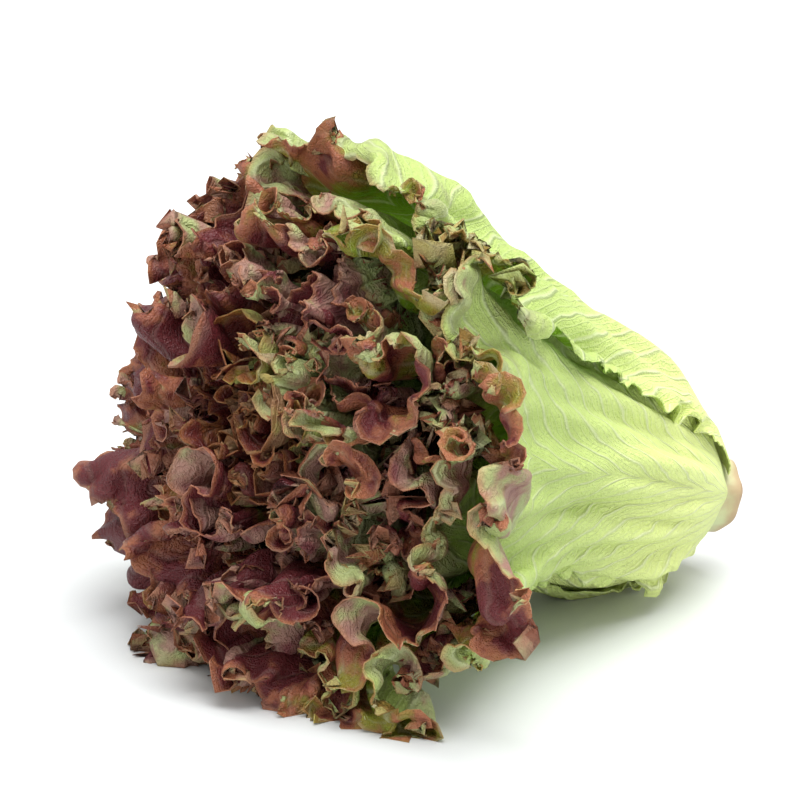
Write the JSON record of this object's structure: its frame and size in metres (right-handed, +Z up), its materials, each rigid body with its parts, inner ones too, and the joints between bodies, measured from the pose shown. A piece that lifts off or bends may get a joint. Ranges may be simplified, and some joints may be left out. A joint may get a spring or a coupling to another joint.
{
  "type": "red leaf lettuce",
  "caption": "Loose head of frilled red leaf lettuce, cut at the stem and lying on its side, with pale ribbed leaf bases and ruffled dark red margins.",
  "frame": {"origin": "on the surface that the head lies on, under the middle of its box", "axes": "+X towards the cut stem, -X towards the frilled face, +Z up"},
  "size_m": [0.2811, 0.298, 0.215],
  "materials": {
    "stem_flesh": "moist cut lettuce stem, pale green, matt",
    "leaf_green": "fresh inner lettuce leaf, yellow-green, satin",
    "leaf_red": "fresh lettuce leaf, pale green below and dark red at the margin, satin"
  },
  "bodies": {
    "root": {"stem": "stem_flesh", "leaf_01": "leaf_green", "leaf_02": "leaf_green", "leaf_03": "leaf_green", "leaf_04": "leaf_green", "leaf_05": "leaf_green", "leaf_06": "leaf_red", "leaf_07": "leaf_red", "leaf_08": "leaf_red", "leaf_09": "leaf_red", "leaf_10": "leaf_red", "leaf_11": "leaf_red", "leaf_12": "leaf_red", "leaf_13": "leaf_red", "leaf_14": "leaf_red", "leaf_15": "leaf_red", "leaf_16": "leaf_red", "leaf_17": "leaf_red", "leaf_18": "leaf_red", "leaf_19": "leaf_red", "leaf_20": "leaf_red", "leaf_21": "leaf_red", "leaf_22": "leaf_red", "leaf_23": "leaf_red", "leaf_24": "leaf_red"}
  },
  "joints": []
}
